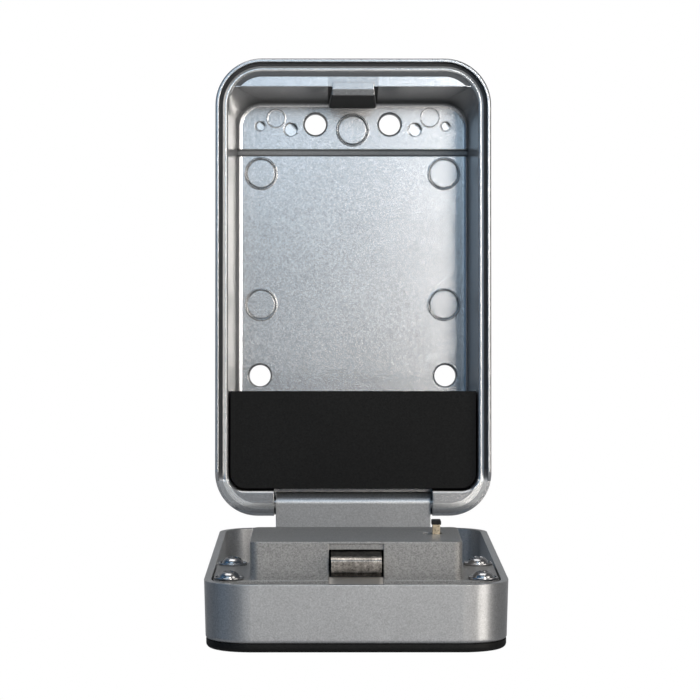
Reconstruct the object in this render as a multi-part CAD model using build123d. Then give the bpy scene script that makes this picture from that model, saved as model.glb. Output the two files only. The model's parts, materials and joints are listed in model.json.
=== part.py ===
from build123d import *
from math import cos, radians, sin, sqrt, tan
import os

# Wall key box: a cast case that is screwed to a wall, and a door with a number lock that folds down.
# All sizes are in millimetres. The origin is the middle of the case's wall face. X is to the right, seen from
# the front, Y points into the wall and Z is up. The door is drawn shut, then turned down about its hinge pin.

# Case
case_width = 65.0
case_height = 107.8
case_depth = 32.0
top_corner = 11.0
low_corner = 10.0
back_edge = 2.0

# Front rim of the case, from the outside in: lip, gutter, bead, and above the cavity a moat and a flat land
lip_width = 0.8
lip_edge = 0.3
gutter_width = 0.9
gutter_step = 2.6
bead_width = 1.2
bead_edge = 0.35
bead_flank = 0.6
seat_step = 1.0
moat_width = 1.2
moat_step = 2.0
land_flank = 0.8
land_flank_step = 0.3
lip_end = 8.2
lip_runout = 2.2
groove_runout = 3.0

# Cavity
back_wall = 3.0
top_wall = 6.5
low_wall = 5.8
cavity_low_corner = 4.0
cavity_top_corner = 6.2
cavity_draft = 2.8
ceiling_draft = 2.0
cavity_fillet = 1.2
fillet_slopes = 5
channel_drop = 19.9
channel_width = 1.7
channel_root = 0.9
channel_depth = 0.8

# Holes and cast marks in the back wall
upper_hole_spacing = 18.2
upper_hole_drop = 12.9
lower_hole_side = 9.85
lower_hole_rise = 33.3
wall_hole = 5.2
wall_hole_bevel = 0.4
pad_diameter = 7.4
pad_groove = 0.35
pad_groove_depth = 0.35
pad_burr = 0.25
pad_burr_height = 0.12
pad_side = 10.1
pad_upper_drop = 25.0
pad_lower_rise = 50.7
centre_pad_drop = 14.3
dimple_depth = 1.2
outer_dimple = 2.4
outer_dimple_side = 9.8
outer_dimple_drop = 13.4
inner_dimple = 3.3
inner_dimple_spacing = 30.4
inner_dimple_drop = 14.2

# Strike that holds the latch
strike_width = 9.8
strike_hang = 2.0
strike_bevel = 0.5
strike_bevel_height = 1.3
strike_root = 11.6
strike_root_hang = 1.6
latch_room = 0.35

# Hinge
pin_rise = 3.0
pin_back = 7.0
pin_diameter = 2.5
pin_play = 0.05
pin_seat = 6.5
knuckle_radius = 2.5
arm_width = 36.6
arm_side_gap = 0.4
stop_gap = 0.3
open_angle = 94.0
swing_gap = 0.3

# Door
door_gap = 0.25
door_low_gap = 0.5
door_depth = 12.2
door_wall = 1.5
door_floor = 2.0
door_draft = 1.5
door_corner = 9.8
door_edge = 0.8

# Front plate
plate_thickness = 1.8
plate_inset = 0.1
plate_edge = 1.0
window_side = 2.0
window_rise = 8.6
window_depth = 1.0
window_flare = 1.4
window_corner = 2.0
index_length = 2.0
index_width = 0.6
index_depth = 0.3
index_gap = 1.0

# Lock housing on the inside of the door
housing_length = 28.0
housing_drop = 9.0
housing_rise = 7.8
housing_wall = 1.3
housing_corner = 1.7
housing_edge = 0.25
housing_foot = 1.0
flange_thickness = 1.6
flange_sink = 0.2
flange_side_gap = 0.4
flange_end = 0.5
flange_low_end = 2.0
flange_corner = 2.0
mouth_width = 11.3
mouth_low = 0.4
mouth_high = 6.1
mouth_ledge = 1.25
mouth_ledge_depth = 0.5
mouth_lip_drop = 1.0

# Housing screws
screw_edge = 0.1
screw_gap = 0.3
screw_first = 11.0
screw_pitch = 24.5
screw_flange = 6.2
screw_flange_thickness = 0.6
screw_head = 4.4
screw_head_height = 1.2
screw_head_round = 0.96
screw_shank = 2.8
screw_length = 6.0
post_diameter = 6.0

# Number dials and their cams
dial_count = 4
dial_diameter = 20.0
dial_space = 2.2
dial_axis_drop = 24.7
dial_axis_front = 4.1
dial_notches = 10
dial_notch = 1.1
dial_gap = 0.3
dial_slot_room = 0.45
axle_diameter = 4.0
axle_play = 0.05
sleeve_diameter = 6.0
cam_diameter = 11.2
cam_width = 1.6
gate_width = 2.8
rib_width = 1.2
rib_hang = 3.0
rib_gap = 0.5
axle_overhang = 0.8
axle_end_gap = 0.35

# Latch slide
latch_width = 10.4
latch_low = 1.8
latch_thickness = 2.8
latch_overlap = 1.6
latch_round = 0.9
latch_ramp = 1.2
latch_travel = 2.3
slide_side_gap = 0.85
slide_thickness = 1.4
slide_floor_gap = 0.4
slide_bar = 1.4
slide_foot = 14.0
tooth_width = 1.2
tooth_depth = 2.0
tooth_gap = 0.3
slide_play = 0.35

# Release button on the front, and its screw
button_width = 16.0
button_height = 9.0
button_thickness = 2.4
button_round = 1.0
button_drop = 21.5
button_ribs = 4
stem_width = 6.0
stem_height = 4.4
button_screw_head = 4.4
button_screw_head_height = 1.4
button_screw_shank = 2.2
button_screw_length = 5.0

# Latch springs and detent spring
spring_diameter = 3.2
spring_wire = 0.4
spring_length = 7.2
spring_stop = 1.4
detent_thickness = 0.4
detent_foot = 2.0
detent_finger = 4.4

# Lever that frees the cams for a new number
lever_clear = 0.5
lever_width = 1.6
lever_length = 3.0
lever_height = 2.0
lever_travel = 1.6
lever_gap = 0.3
lever_eye = 0.9
cap_height = 0.9
cap_overhang = 0.2

# Screws that hold the front plate
cover_screw_spacing = 40.0
cover_screw_rises = (14.0, 38.0)
cover_screw_head = 4.6
cover_screw_head_height = 1.5
cover_screw_shank = 2.4
cover_screw_bite = 1.0
cover_screw_play = 0.1

# Key pocket
pocket_gap = 0.5
pocket_front = 3.0
pocket_wall = 1.6
pocket_height = 23.2
pocket_low_gap = 0.4
pocket_bevel = 1.1

# Places worked out from the sizes above
case_low = -case_height / 2
case_high = case_height / 2
rim_y = -case_depth
bead_inset = lip_width + gutter_width + bead_width
seat_y = rim_y + seat_step
pin_y = rim_y + pin_back
pin_z = case_low + pin_rise
door_y = seat_y - swing_gap
door_width = case_width - 2 * (lip_width + door_gap)
door_low = case_low + door_low_gap
door_high = case_high - lip_width - door_gap
floor_y = door_y - door_depth + door_floor
plate_y = door_y - door_depth
front_y = plate_y - plate_thickness
flange_half = door_width / 2 - door_wall - flange_side_gap
screw_x = flange_half - screw_edge - screw_flange / 2
housing_width = 2 * (screw_x - screw_flange / 2 - screw_gap - housing_foot)
housing_inner = housing_width - 2 * housing_wall
slide_width = housing_inner - 2 * slide_side_gap
spring_spacing = slide_width - spring_diameter
lever_room = lever_travel + lever_clear + lever_width
dial_reach = housing_inner / 2 - axle_end_gap - axle_overhang - rib_width - rib_gap - lever_room
dial_pitch = (2 * dial_reach + dial_space) / dial_count
dial_width = dial_pitch - dial_space
housing_high = door_high - housing_drop
housing_low = housing_high - housing_length
roof_y = door_y + housing_rise
ceiling_z = case_high - top_wall
strike_z = ceiling_z - strike_hang
axle_y = door_y - dial_axis_front
axle_z = door_high - dial_axis_drop
slide_back_y = floor_y + slide_floor_gap + slide_thickness
latch_front_y = door_y + latch_low
latch_back_y = latch_front_y + latch_thickness
latch_tip = strike_z + latch_overlap
button_z = axle_z - button_drop
riser_high = housing_high - housing_wall - slide_play
riser_low = riser_high - slide_bar
slide_low = axle_z - button_drop - slide_foot / 2
dial_xs = [(i - (dial_count - 1) / 2) * dial_pitch for i in range(dial_count)]
lever_x = dial_reach + lever_travel + lever_clear + lever_width / 2


def at_y(y):
    """The upright plane at a given y whose sketches are seen from the front."""
    return Plane.XZ.offset(-y)


def panel(width, low, high, low_round, high_round):
    """A flat outline centred on x = 0 with one corner radius below and one above."""
    half = width / 2
    face = Polygon((-half, low), (half, low), (half, high), (-half, high), align=None)
    if low_round > 0:
        face = fillet(face.vertices().group_by(Axis.Y)[0], low_round)
    if high_round > 0:
        face = fillet(face.vertices().group_by(Axis.Y)[-1], high_round)
    return face


def box(x0, x1, y0, y1, z0, z1):
    """A block between two corners."""
    size = (x1 - x0, y1 - y0, z1 - z0)
    return Pos((x0 + x1) / 2, (y0 + y1) / 2, (z0 + z1) / 2) * Box(*size)


def rod(diameter, y0, y1, x, z):
    """A round bar along y."""
    return extrude(at_y(y0) * Pos(x, z) * Circle(diameter / 2), y0 - y1)


def shaft(diameter, x0, x1, y, z):
    """A round bar along x."""
    return extrude(Plane.YZ.offset(x0) * Pos(y, z) * Circle(diameter / 2), x1 - x0)


def case_outline(inset):
    """The case's outline, moved in by a distance."""
    width = case_width - 2 * inset
    low = case_low + inset
    high = case_high - inset
    return panel(width, low, high, low_corner - inset, top_corner - inset)


def cavity_outline(y, inset=0.0, ring_corner=True):
    """The cavity's section at a given y. It narrows towards the wall, under a straight ceiling.

    At the mouth its upper corners follow the bead, and at the back wall they are rounded into the ceiling.
    """
    deep = y - seat_y
    side = bead_inset + inset + deep * tan(radians(cavity_draft))
    low = case_low + low_wall + inset + deep * tan(radians(cavity_draft))
    ceiling = ceiling_z - inset - deep * tan(radians(ceiling_draft))
    width = case_width - 2 * side
    if not ring_corner:
        return panel(width, low, ceiling, cavity_low_corner - inset, cavity_top_corner - inset)
    face = panel(width, low, case_high - side, cavity_low_corner - inset, top_corner - side)
    return face & panel(case_width, case_low, ceiling, 0, 0)


def cavity_solid(y0, y1, inset=0.0, ring_corner=True):
    """The cavity between two depths. The far end has its corners rounded into the ceiling."""
    near = at_y(y0) * cavity_outline(y0, inset, ring_corner)
    far = at_y(y1) * cavity_outline(y1, inset, ring_corner=False)
    return loft([near, far], ruled=True)


def cavity_block():
    """The cavity down to the back wall. Narrow slopes make the fillet round its floor."""
    start = -back_wall - cavity_fillet
    sections = []
    for i in range(fillet_slopes + 1):
        turn = radians(90 * i / fillet_slopes)
        y = start + cavity_fillet * sin(turn)
        inset = cavity_fillet * (1 - cos(turn))
        sections.append(at_y(y) * cavity_outline(y, inset, ring_corner=False))
    return cavity_solid(seat_y, start) + loft(sections, ruled=True)


def ring(outer, inner, depth):
    """A groove in the rim between two distances from the case's outline."""
    return extrude(at_y(rim_y) * (case_outline(outer) - case_outline(inner)), -depth)


def inward_bevel(inset, y, size):
    """What a bevel takes from an edge of the rim that faces the cavity."""
    return loft([at_y(y) * case_outline(inset - size), at_y(y + size) * case_outline(inset)], ruled=True)


def outward_bevel(inset, y, width, depth):
    """What a bevel takes from an edge of the rim that faces outwards."""
    core = loft([at_y(y) * case_outline(inset + width), at_y(y + depth) * case_outline(inset)], ruled=True)
    return extrude(at_y(y) * case_outline(inset), -depth) - core


def rim_cuts():
    """What the steps of the front rim take away. The grooves run out towards the hinge."""
    bead_outer = lip_width + gutter_width
    land_outer = bead_inset + moat_width
    cuts = extrude(at_y(rim_y) * case_outline(lip_width), -seat_step)
    cuts += ring(lip_width, bead_outer, gutter_step)
    cuts += ring(bead_inset, land_outer, moat_step)
    cuts += outward_bevel(bead_outer, seat_y, bead_flank, bead_edge)
    cuts += inward_bevel(bead_inset, seat_y, bead_edge)
    cuts += outward_bevel(land_outer, seat_y, land_flank, land_flank_step)
    cuts += outward_bevel(0, rim_y, lip_edge, lip_edge)
    stop = case_low + lip_end
    deep = rim_y + gutter_step + 0.1
    above = Polygon(
        (rim_y - 1, stop),
        (seat_y, stop),
        (deep, stop + groove_runout),
        (deep, case_high + 1),
        (rim_y - 1, case_high + 1),
        align=None,
    )
    return cuts & extrude(Plane.YZ * above, case_width, both=True)


def mouth_bevel():
    """The bevel round the lower end of the cavity's mouth."""
    front = at_y(seat_y) * cavity_outline(seat_y, -bead_edge)
    back = at_y(seat_y + bead_edge) * cavity_outline(seat_y + bead_edge)
    low_end = box(-case_width, case_width, rim_y, 0, case_low, case_low + lip_end)
    return loft([front, back], ruled=True) & low_end


def toe_cut():
    """Below the lip the rim's face is flat, and under the pin it is round so that the door swings past it."""
    reach = pin_y - seat_y
    stop = case_low + lip_end
    face = Polygon(
        (rim_y - 1, case_low - 1),
        (pin_y, case_low - 1),
        (pin_y, pin_z),
        (seat_y, pin_z),
        (seat_y, stop),
        (rim_y, stop + lip_runout),
        (rim_y - 1, stop + lip_runout),
        align=None,
    )
    face -= Pos(pin_y, pin_z) * Circle(reach)
    return extrude(Plane.YZ * face, case_width / 2 + 1, both=True)


def channel_cut():
    """The shallow channel across the back wall. Its sloping sides run on through the fillets."""
    z = case_high - channel_drop
    half = case_width / 2 - bead_inset - (case_depth - seat_step - back_wall) * tan(radians(cavity_draft))
    mouth = channel_width / 2 + (channel_width - channel_root) / 2 * cavity_fillet / channel_depth
    face = Polygon(
        (-back_wall - cavity_fillet, z - mouth),
        (-back_wall + channel_depth, z - channel_root / 2),
        (-back_wall + channel_depth, z + channel_root / 2),
        (-back_wall - cavity_fillet, z + mouth),
        align=None,
    )
    return extrude(Plane.YZ * face, half, both=True)


def pad_parts(x, z):
    """A round cast mark: the groove round it, and the burr that stands round the groove."""
    y = -back_wall
    outer = pad_diameter + 2 * pad_burr
    groove = rod(pad_diameter, y - 1, y + pad_groove_depth, x, z)
    groove -= rod(pad_diameter - 2 * pad_groove, y - 1, y + 1, x, z)
    burr = rod(outer, y - pad_burr_height, y + pad_burr_height, x, z)
    burr -= rod(pad_diameter, y - 1, y + 1, x, z)
    return burr, groove


def pad_places():
    upper = case_high - pad_upper_drop
    lower = case_low + pad_lower_rise
    x = case_width / 2 - pad_side
    sides = [(side * x, z) for side in (-1, 1) for z in (upper, lower)]
    return sides + [(0, case_high - centre_pad_drop)]


def strike():
    """The catch under the cavity's ceiling, with a root on the back wall and room between for the latch."""
    half = strike_width / 2
    back = latch_front_y - latch_room
    tab = Polygon(
        (seat_y, ceiling_z + 1),
        (seat_y, strike_z + strike_bevel_height),
        (seat_y + strike_bevel, strike_z),
        (back, strike_z),
        (back, ceiling_z + 1),
        align=None,
    )
    root_front = latch_back_y + latch_ramp + latch_room
    root_low = ceiling_z - strike_root_hang
    mouth = at_y(root_front) * panel(strike_width + 0.4, root_low, ceiling_z + 1, 0.5, 0)
    foot = at_y(-back_wall) * panel(strike_root, strike_z - strike_bevel, ceiling_z + 1, 0.5, 0)
    return extrude(Plane.YZ * tab, half, both=True) + loft([mouth, foot], ruled=True)


def wall_holes():
    """The four fixing holes, each with a small bevel at its mouth."""
    places = []
    for side in (-1, 1):
        places.append((side * upper_hole_spacing / 2, case_high - upper_hole_drop))
        places.append((side * (case_width / 2 - lower_hole_side), case_low + lower_hole_rise))
    holes = []
    for x, z in places:
        holes.append(rod(wall_hole, -back_wall - 1, 1, x, z))
        mouth = at_y(-back_wall) * Pos(x, z) * Circle(wall_hole / 2 + wall_hole_bevel)
        foot = at_y(-back_wall + wall_hole_bevel) * Pos(x, z) * Circle(wall_hole / 2)
        holes.append(loft([mouth, foot], ruled=True))
    return holes


def dimples():
    """The blind marks beside the upper holes."""
    y = -back_wall
    cuts = []
    for side in (-1, 1):
        outer_x = side * (case_width / 2 - outer_dimple_side)
        inner_x = side * inner_dimple_spacing / 2
        cuts.append(rod(outer_dimple, y - 1, y + dimple_depth, outer_x, case_high - outer_dimple_drop))
        cuts.append(rod(inner_dimple, y - 1, y + dimple_depth, inner_x, case_high - inner_dimple_drop))
    return cuts


def arm_notch():
    """The gap in the lower wall that the door's arm turns in. Its back edge stops the open door."""
    half = arm_width / 2 + arm_side_gap
    lean = radians(open_angle - 90)
    back = pin_y + knuckle_radius / cos(lean) + pin_rise * tan(lean) + stop_gap
    return box(-half, half, rim_y - 1, back, case_low - 1, case_low + low_wall + back_edge)


def pin_ends():
    """Both ends of the hinge pin: it is driven in from the right."""
    half = arm_width / 2 + arm_side_gap
    corner = case_width / 2 - low_corner
    run = sqrt(low_corner**2 - (low_corner - pin_rise) ** 2)
    return -half - pin_seat, corner + run - 1.2


def make_case():
    shell = extrude(at_y(0) * case_outline(0), case_depth)
    shell = fillet(shell.edges().group_by(Axis.Y)[-1], back_edge)
    shell -= rim_cuts()
    shell -= cavity_block()
    shell -= extrude(at_y(rim_y - 1) * cavity_outline(seat_y), -(1 + seat_step))
    shell -= toe_cut()
    shell -= mouth_bevel()
    shell -= channel_cut()
    shell += strike()
    for x, z in pad_places():
        burr, groove = pad_parts(x, z)
        shell += burr
        shell -= groove
    for cut in wall_holes() + dimples():
        shell -= cut
    shell -= arm_notch()
    left, right = pin_ends()
    shell -= shaft(pin_diameter, left, case_width, pin_y, pin_z)
    return shell


def make_hinge_pin():
    left, right = pin_ends()
    pin = shaft(pin_diameter, left, right, pin_y, pin_z)
    return chamfer(pin.faces().sort_by(Axis.X)[-1].edges(), 0.2)


def make_key_pocket():
    """A moulded tray in the lower end of the cavity. Keys and cards stand in it, behind its front wall."""
    y0 = rim_y + pocket_front
    y1 = -back_wall
    top = case_low + low_wall + pocket_low_gap + pocket_height
    y2 = y1 - pocket_bevel
    tray = cavity_solid(y0, y2, pocket_gap, ring_corner=False)
    near = at_y(y2) * cavity_outline(y2, pocket_gap, ring_corner=False)
    far = at_y(y1) * cavity_outline(y1, pocket_gap + pocket_bevel, ring_corner=False)
    tray += loft([near, far], ruled=True)
    room = cavity_solid(y0 + pocket_wall, y1 + 1, pocket_gap + pocket_wall, ring_corner=False)
    tray -= room
    keep = box(-case_width, case_width, rim_y, 0, case_low, top)
    return tray & keep


def door_outline(inset):
    """The door's outline, moved in by a distance."""
    low = door_low + inset
    high = door_high - inset
    low_round = low_corner - lip_width - door_gap
    return panel(door_width - 2 * inset, low, high, low_round - inset, door_corner - inset)


def door_solid(y0, y1, inset=0.0):
    """A block of the door's outline that narrows towards the front by its draft."""
    sections = []
    for y in (y0, y1):
        shrink = (door_y - y) * tan(radians(door_draft)) + inset
        sections.append(at_y(y) * door_outline(shrink))
    return loft(sections, ruled=True)


def dial_slots(y0, y1):
    """One slot for each dial through a wall of the door between two depths."""
    far = axle_y - y1
    radius = dial_diameter / 2 + dial_slot_room
    half = sqrt(radius**2 - far**2)
    width = dial_width + 2 * dial_gap
    return [box(x - width / 2, x + width / 2, y0, y1 + 1, axle_z - half, axle_z + half) for x in dial_xs]


def stem_slot(y0, y1):
    """The slot that the release button's stem slides in."""
    half = stem_width / 2 + slide_play
    low = button_z - stem_height / 2 - latch_travel - slide_play
    return box(-half, half, y0, y1, low, button_z + stem_height / 2 + slide_play)


def screw_places():
    """The middles of the four housing screws."""
    rows = (screw_first, screw_first + screw_pitch)
    return [(side * screw_x, door_high - row) for side in (-1, 1) for row in rows]


def cover_screw_places():
    x = cover_screw_spacing / 2
    return [(side * x, door_low + rise) for side in (-1, 1) for rise in cover_screw_rises]


def arm_block():
    """The arm that joins the door to the hinge pin: a flat arm with a round knuckle."""
    face = Pos(pin_y, pin_z) * Circle(knuckle_radius)
    low = pin_z - knuckle_radius
    face += Polygon(
        (floor_y - 0.5, low),
        (pin_y, low),
        (pin_y, low + 2 * knuckle_radius),
        (floor_y - 0.5, low + 2 * knuckle_radius),
        align=None,
    )
    return extrude(Plane.YZ * face, arm_width / 2, both=True)


def make_door_shell():
    shell = door_solid(door_y, plate_y)
    shell = fillet(shell.edges().group_by(Axis.Y)[0], door_edge)
    shell -= door_solid(door_y, floor_y, door_wall)
    shell += arm_block()
    for x, z in screw_places():
        shell += rod(post_diameter, floor_y - 0.5, door_y - flange_sink - flange_thickness, x, z)
        shell -= rod(screw_shank, floor_y + 1, door_y, x, z)
    for slot in dial_slots(plate_y - 1, floor_y):
        shell -= slot
    shell -= stem_slot(plate_y - 1, floor_y + 1)
    for x, z in cover_screw_places():
        shell -= rod(cover_screw_shank + 2 * cover_screw_play, plate_y - 1, floor_y + 1, x, z)
    shell -= shaft(pin_diameter + 2 * pin_play, -arm_width, arm_width, pin_y, pin_z)
    return shell


def window_cuts():
    """The sunken window round the dials, where a finger turns them, and an index line at each side."""
    half = dial_xs[-1] + dial_width / 2 + window_side
    sections = []
    for y, grow in ((front_y, window_flare), (front_y + window_depth, 0)):
        low = axle_z - window_rise - grow
        high = axle_z + window_rise + grow
        corner = window_corner + grow
        sections.append(at_y(y) * panel(2 * (half + grow), low, high, corner, corner))
    cuts = [loft(sections, ruled=True)]
    near = half + window_flare + index_gap
    tall = index_width / 2
    for side in (-1, 1):
        xs = sorted((side * near, side * (near + index_length)))
        cuts.append(box(*xs, front_y - 1, front_y + index_depth, axle_z - tall, axle_z + tall))
    return cuts


def make_front_plate():
    """The dark plate on the door's front, with its slots for the dials and the button."""
    inset = door_depth * tan(radians(door_draft)) + plate_inset
    plate = extrude(at_y(plate_y) * door_outline(inset), plate_thickness)
    plate = fillet(plate.edges().group_by(Axis.Y)[0], plate_edge)
    for cut in window_cuts():
        plate -= cut
    for slot in dial_slots(front_y - 1, plate_y):
        plate -= slot
    plate -= stem_slot(front_y - 1, plate_y + 1)
    for x, z in cover_screw_places():
        plate -= rod(cover_screw_shank, plate_y - cover_screw_bite, plate_y + 1, x, z)
    return plate


def make_cover_screws():
    """Screws from inside the door into the front plate."""
    screws = []
    for x, z in cover_screw_places():
        shank = rod(cover_screw_shank, plate_y - cover_screw_bite, floor_y, x, z)
        head = rod(cover_screw_head, floor_y, floor_y + cover_screw_head_height, x, z)
        head = fillet(head.edges().group_by(Axis.Y)[-1], cover_screw_head_height / 2)
        screws.append(shank + head)
    return screws


def make_lock_housing():
    """The cover of the lock: a flat flange with a raised box, and ribs inside that carry the dials' axle."""
    base_y = door_y - flange_sink
    under_y = base_y - flange_thickness
    low = housing_low - flange_low_end
    high = housing_high + flange_end
    flange = panel(2 * flange_half, low, high, flange_corner, flange_corner)
    cover = extrude(at_y(under_y) * flange, -flange_thickness)
    tower_face = panel(housing_width, housing_low, housing_high, housing_corner, housing_corner)
    tower = extrude(at_y(under_y) * tower_face, under_y - roof_y)
    cover += fillet(tower.edges().group_by(Axis.Y)[-1], housing_edge)
    cover += housing_foot_ring() & extrude(at_y(base_y) * flange, base_y - roof_y)
    inner_round = housing_corner - housing_wall
    inner_low = housing_low + housing_wall
    inner_high = housing_high - housing_wall
    room = panel(housing_inner, inner_low, inner_high, inner_round, inner_round)
    inner_roof = roof_y - housing_wall
    cover -= extrude(at_y(under_y - 1) * room, under_y - 1 - inner_roof)
    half = mouth_width / 2
    mouth_y0 = door_y + mouth_low
    mouth_y1 = door_y + mouth_high
    cover -= box(-half, half, mouth_y0, mouth_y1, inner_high - 1, high + 1)
    ledge_z = housing_high - mouth_ledge_depth
    recess = Polygon(
        (mouth_y1 + mouth_ledge, ledge_z),
        (mouth_y0, ledge_z),
        (door_y - mouth_lip_drop, high),
        (door_y - mouth_lip_drop, high + 1),
        (mouth_y1 + mouth_ledge, high + 1),
        align=None,
    )
    cover -= extrude(Plane.YZ * recess, half, both=True)
    rib_low = axle_y - rib_hang
    for x in rib_places():
        rib = box(x, x + rib_width, rib_low, inner_roof + 0.5, axle_z - rib_hang, axle_z + rib_hang)
        cover += rib - shaft(axle_diameter, x - 1, x + rib_width + 1, axle_y, axle_z)
    for x, z in screw_places():
        cover -= rod(screw_shank, under_y - 1, base_y + 1, x, z)
    stop_high = riser_low - spring_length
    stop_low_y = slide_back_y + slide_play
    reach = spring_diameter / 2 + 0.2
    for end in (-1, 1):
        near = spring_spacing / 2 - reach
        xs = sorted((end * near, end * (housing_inner / 2 + 0.5)))
        cover += box(*xs, stop_low_y, inner_roof + 0.5, stop_high - spring_stop, stop_high)
    low_x = lever_x - lever_width / 2 - lever_gap - lever_travel
    high_x = lever_x + lever_width / 2 + lever_gap
    half_z = lever_length / 2 + lever_gap
    cover -= box(low_x, high_x, inner_roof - 0.2, roof_y + 1, axle_z - half_z, axle_z + half_z)
    return cover


def housing_foot_ring():
    """The hollow curve between the flange and the sides and lower end of the raised box, in two slopes."""
    base_y = door_y - flange_sink
    levels = ((0.0, housing_foot), (0.3 * housing_foot, 0.35 * housing_foot), (housing_foot, 0.0))
    sections = []
    for rise, grow in levels:
        low = housing_low - grow
        corner = housing_corner + grow
        face = panel(housing_width + 2 * grow, low, housing_high, corner, corner)
        sections.append(at_y(base_y + rise) * face)
    return loft(sections, ruled=True)


def rib_places():
    """The left faces of the two ribs that carry the dials' axle."""
    left = dial_xs[0] - dial_width / 2 - 0.05 - cam_width - 0.4 - rib_width
    right = lever_x + lever_width / 2 + rib_gap
    return left, right


def make_housing_screws():
    """Four screws with a flanged round head."""
    seat = door_y - flange_sink
    screws = []
    for x, z in screw_places():
        shank = rod(screw_shank, seat - screw_length, seat, x, z)
        flange = rod(screw_flange, seat, seat + screw_flange_thickness, x, z)
        top = seat + screw_flange_thickness + screw_head_height
        head = rod(screw_head, seat, top, x, z)
        head = fillet(head.edges().group_by(Axis.Y)[-1], screw_head_round)
        screws.append(shank + flange + head)
    return screws


def make_dial_axle():
    left, right = rib_places()
    bar = shaft(axle_diameter, left - axle_overhang, right + rib_width + axle_overhang, axle_y, axle_z)
    return chamfer(bar.edges().filter_by(GeomType.CIRCLE), 0.3)


def make_dial(x):
    """A number ring with a notch between each two numbers."""
    ring = shaft(dial_diameter, x - dial_width / 2, x + dial_width / 2, axle_y, axle_z)
    ring = chamfer(ring.edges().filter_by(GeomType.CIRCLE), 0.4)
    ring -= shaft(sleeve_diameter + 2 * axle_play, x - dial_width, x + dial_width, axle_y, axle_z)
    for i in range(dial_notches):
        turn = radians((i + 0.5) * 360 / dial_notches)
        y = axle_y + dial_diameter / 2 * cos(turn)
        z = axle_z + dial_diameter / 2 * sin(turn)
        ring -= shaft(dial_notch, x - dial_width, x + dial_width, y, z)
    return ring


def make_cam(x):
    """The sleeve inside a dial. At the right number the gate in its flange faces a tooth of the slide."""
    face = x - dial_width / 2 - 0.05
    cam = shaft(sleeve_diameter, face - cam_width, x + dial_width / 2, axle_y, axle_z)
    cam += shaft(cam_diameter, face - cam_width, face, axle_y, axle_z)
    cam -= shaft(axle_diameter + 2 * axle_play, face - 2 * cam_width, x + dial_width, axle_y, axle_z)
    half = gate_width / 2
    gate = box(face - cam_width - 1, face, axle_y - half, axle_y + half, axle_z, axle_z + cam_diameter)
    keep = shaft(sleeve_diameter, face - 2 * cam_width, face + 1, axle_y, axle_z)
    return cam - (gate - keep)


def make_latch_slide():
    """A bent plate: the frame round the dials, a riser, the nose that catches the strike, and four teeth."""
    y0 = floor_y + slide_floor_gap
    y1 = slide_back_y
    half = slide_width / 2
    plate = box(-half, half, y0, y1, slide_low, riser_high)
    radius = dial_diameter / 2
    chord = sqrt(radius**2 - (axle_y - y1) ** 2)
    window = rib_places()[1] - rib_width - 0.6
    plate -= box(-window, window, y0 - 1, y1 + 1, axle_z - chord - slide_play, riser_low)
    waist = stem_width
    for end in (-1, 1):
        xs = sorted((end * waist, end * (half + 1)))
        plate -= box(*xs, y0 - 1, y1 + 1, slide_low - 1, axle_z - chord - slide_play - 2 * slide_bar)
    comb_half = dial_xs[-1] + dial_width / 2
    comb_y = axle_y + tooth_depth / 2
    plate += box(-comb_half - cam_width, comb_half, y0, comb_y, riser_low, riser_high)
    nose_half = latch_width / 2
    plate += box(-nose_half, nose_half, y0, latch_back_y, riser_low, riser_high)
    nose = Polygon(
        (latch_front_y, riser_low),
        (latch_front_y, latch_tip),
        (latch_back_y, latch_tip),
        (latch_back_y + latch_ramp, housing_high - latch_room),
        (latch_back_y + latch_ramp, riser_low),
        align=None,
    )
    tip = nose.vertices().group_by(Axis.Y)[-1].sort_by(Axis.X)[-1]
    nose = fillet(tip, latch_round)
    plate += extrude(Plane.YZ * nose, nose_half, both=True)
    tooth_low = axle_z + cam_diameter / 2 + latch_travel + tooth_gap
    for x in dial_xs:
        middle = x - dial_width / 2 - 0.05 - cam_width / 2
        side = tooth_width / 2
        depth = tooth_depth / 2
        plate += box(middle - side, middle + side, axle_y - depth, axle_y + depth, tooth_low, riser_high)
    for end in (-1, 1):
        near = spring_spacing / 2 - spring_diameter / 2
        xs = sorted((end * near, end * half))
        plate += box(*xs, y0, y1 + 2 * spring_diameter, riser_low, riser_high)
    plate -= rod(button_screw_shank, y0 - 1, y1 + 1, 0, button_z)
    return plate


def make_release_button():
    """The thumb button on the front, with ribs for grip and a stem through the door."""
    stem_back = floor_y + slide_floor_gap
    stem_front = front_y - dial_gap
    half = stem_width / 2
    tall = stem_height / 2
    stem = box(-half, half, stem_front, stem_back, button_z - tall, button_z + tall)
    cap_half = button_width / 2
    cap_tall = button_height / 2
    cap_y = stem_front - button_thickness
    cap = box(-cap_half, cap_half, cap_y, stem_front, button_z - cap_tall, button_z + cap_tall)
    cap = fillet(cap.edges().filter_by(Axis.Y), button_round)
    cap = fillet(cap.edges().group_by(Axis.Y)[0], button_round / 2)
    step = button_height / (button_ribs + 1)
    for i in range(button_ribs):
        z = button_z - cap_tall + (i + 1) * step
        groove = shaft(step / 2, -cap_half + button_round, cap_half - button_round, cap_y, z)
        cap -= groove
    button = stem + cap
    bore_front = stem_back - button_screw_length + slide_thickness
    return button - rod(button_screw_shank, bore_front, stem_back + 1, 0, button_z)


def make_button_screw():
    seat = slide_back_y
    shank = rod(button_screw_shank, seat - button_screw_length, seat, 0, button_z)
    head = rod(button_screw_head, seat, seat + button_screw_head_height, 0, button_z)
    return shank + fillet(head.edges().group_by(Axis.Y)[-1], button_screw_head_height / 2)


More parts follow.
